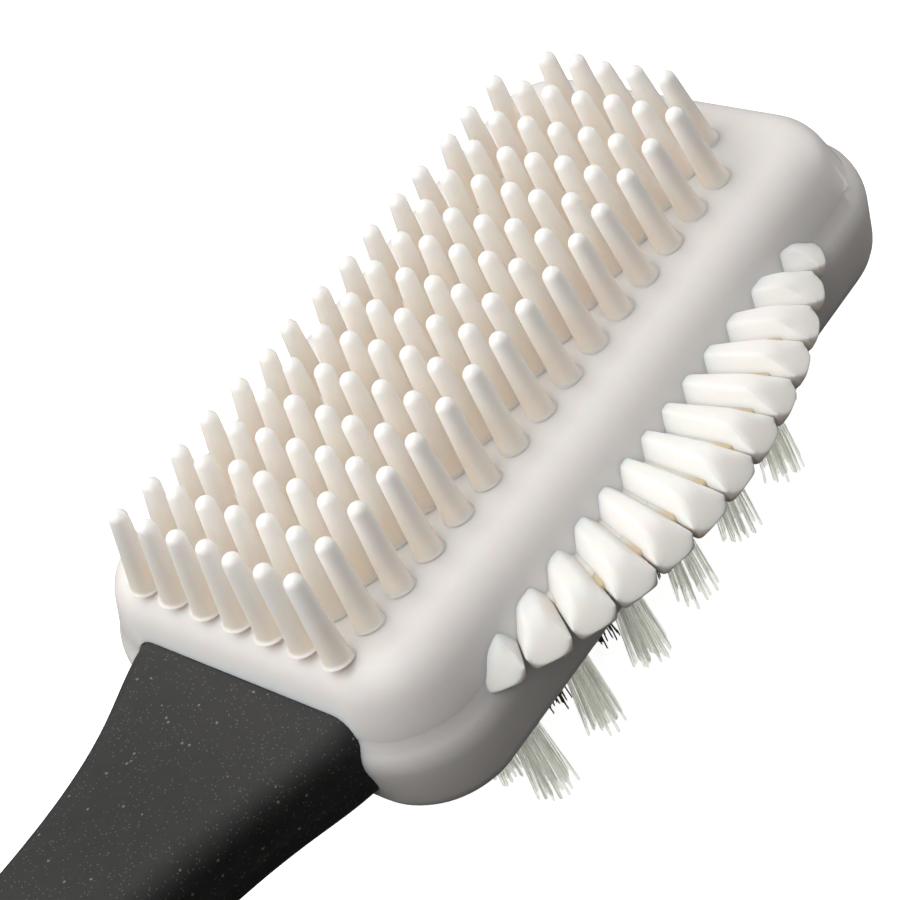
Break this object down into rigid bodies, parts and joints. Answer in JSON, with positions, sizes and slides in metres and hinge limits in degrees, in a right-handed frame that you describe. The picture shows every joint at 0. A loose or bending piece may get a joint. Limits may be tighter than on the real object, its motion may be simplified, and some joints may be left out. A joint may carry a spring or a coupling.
{
  "type": "hand cleaning brush",
  "caption": "Hand brush with soft tapered nubs on one face, a crescent of soft fingers on one side, nylon and crimped brass tufts underneath and a slim black handle.",
  "frame": {"origin": "on the plane of the trimmed bristle ends, at the end of the middle brass tuft, under the middle of the head", "axes": "+X from the handle to the far end of the head, +Z from the bristles to the nubs, the crescent of fingers is on the -Y side"},
  "size_m": [0.1536, 0.0511, 0.0385],
  "materials": {
    "white_rubber": "satin, slightly translucent",
    "black_rubber": "matt soft touch",
    "black_plastic": "moulded",
    "block_plastic": "moulded",
    "nylon": "clear filament",
    "brass_wire": "crimped wire",
    "anchor_metal": "stamped strip"
  },
  "bodies": {
    "root": {"brass_anchors_row_1": "anchor_metal", "brass_anchors_row_2": "anchor_metal", "brass_anchors_row_3": "anchor_metal", "brass_anchors_row_4": "anchor_metal", "brass_anchors_row_5": "anchor_metal", "brass_tufts_row_1": "brass_wire", "brass_tufts_row_2": "brass_wire", "brass_tufts_row_3": "brass_wire", "brass_tufts_row_4": "brass_wire", "brass_tufts_row_5": "brass_wire", "bristle_block": "block_plastic", "handle_core": "black_plastic", "handle_grip": "black_rubber", "nylon_anchors_crescent_side": "anchor_metal", "nylon_anchors_far_end": "anchor_metal", "nylon_anchors_handle_end": "anchor_metal", "nylon_anchors_plain_side": "anchor_metal", "nylon_tufts_crescent_side": "nylon", "nylon_tufts_far_end": "nylon", "nylon_tufts_handle_end": "nylon", "nylon_tufts_plain_side": "nylon", "rubber_cover": "white_rubber"}
  },
  "joints": []
}
